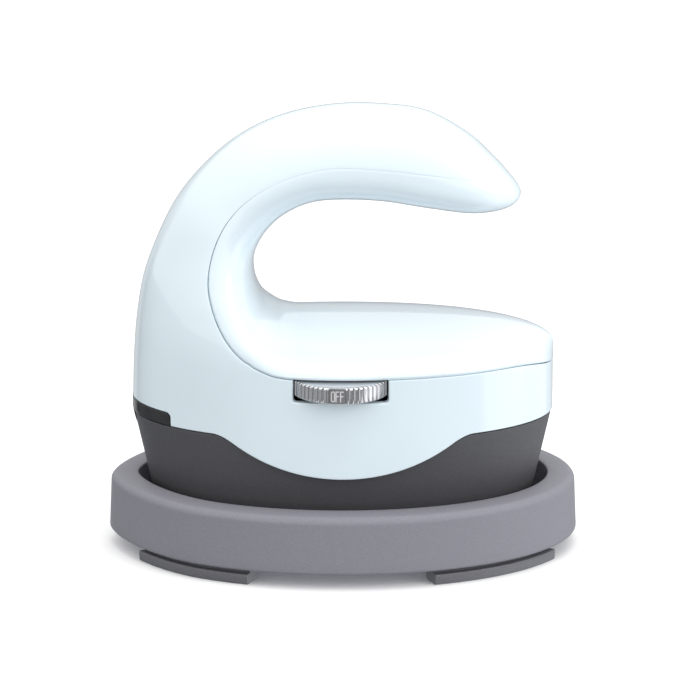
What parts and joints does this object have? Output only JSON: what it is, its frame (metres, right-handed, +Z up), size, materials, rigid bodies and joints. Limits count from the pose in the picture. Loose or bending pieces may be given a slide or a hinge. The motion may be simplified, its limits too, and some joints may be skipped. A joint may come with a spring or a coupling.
{
  "type": "handheld heat press",
  "caption": "Small hand-held heat press with an open hooked handle, domed deck, side thumbwheel and oval safety base on feet.",
  "frame": {"origin": "centre of the base's outline on the plane its feet stand on", "axes": "+X towards the nose and the open end of the handle, +Z up, +Y away from the side with the thumbwheel"},
  "size_m": [0.127, 0.0858, 0.1226],
  "materials": {
    "shell_blue": "gloss",
    "cover_blue": "gloss",
    "housing_dark": "fine speckled grain",
    "outlet_black": "gloss",
    "base_grey": "satin",
    "foot_rubber": "matt",
    "dial_metal": "knurled bright metal",
    "label_grey": "satin",
    "plate_metal": "cast, non-stick face",
    "element_steel": "heat stained",
    "bright_steel": "plated",
    "pad_fibre": "felted fibre",
    "shield_metal": "sheet",
    "fuse_case": "plated",
    "black_plastic": "matt",
    "switch_case": "satin",
    "board_green": "solder mask",
    "relay_blue": "gloss",
    "film_yellow": "gloss",
    "capacitor_sleeve": "sleeve",
    "terminal_green": "satin",
    "fuse_ceramic": "ceramic",
    "brass_can": "plated",
    "lead_red": "silicone",
    "lead_white": "silicone",
    "screw_steel": "plated"
  },
  "bodies": {
    "base": {"base_tray": "base_grey", "base_feet": "foot_rubber"},
    "press": {"soleplate": "plate_metal", "heating_element": "element_steel", "element_clamps": "bright_steel", "insulation_pad": "pad_fibre", "heat_shield": "shield_metal", "thermal_fuse": "fuse_case", "fuse_clip": "bright_steel", "temperature_sensor": "black_plastic", "sensor_clip": "bright_steel", "lower_housing": "housing_dark", "right_shell": "shell_blue", "left_shell": "shell_blue", "inner_cover": "cover_blue", "cord_outlet": "outlet_black", "rotary_switch": "switch_case", "switch_nut": "bright_steel", "switch_bracket": "bright_steel", "control_board": "board_green", "controller_chip": "black_plastic", "power_relay": "relay_blue", "film_capacitor": "film_yellow", "filter_capacitor": "capacitor_sleeve", "terminal_block": "terminal_green", "board_fuse": "fuse_ceramic", "motion_switch": "brass_can", "heater_leads": "lead_red", "sensor_leads": "lead_white", "soleplate_screws": "screw_steel", "shell_screws": "screw_steel", "board_screws": "screw_steel", "bracket_screws": "screw_steel", "clamp_screws": "screw_steel"},
    "dial": {"dial": "dial_metal", "dial_labels": "label_grey", "rotary_shaft": "bright_steel"}
  },
  "joints": [
    {"name": "press_lift", "type": "slide", "parent": "base", "child": "press", "axis": [0, 0, 1], "range_m": [0, 0.06]},
    {"name": "dial_turn", "type": "hinge", "parent": "press", "child": "dial", "pos_m": [-0.0006, -0.024, 0.0499], "axis": [0, 0, 1], "range_deg": [0, 270]}
  ]
}
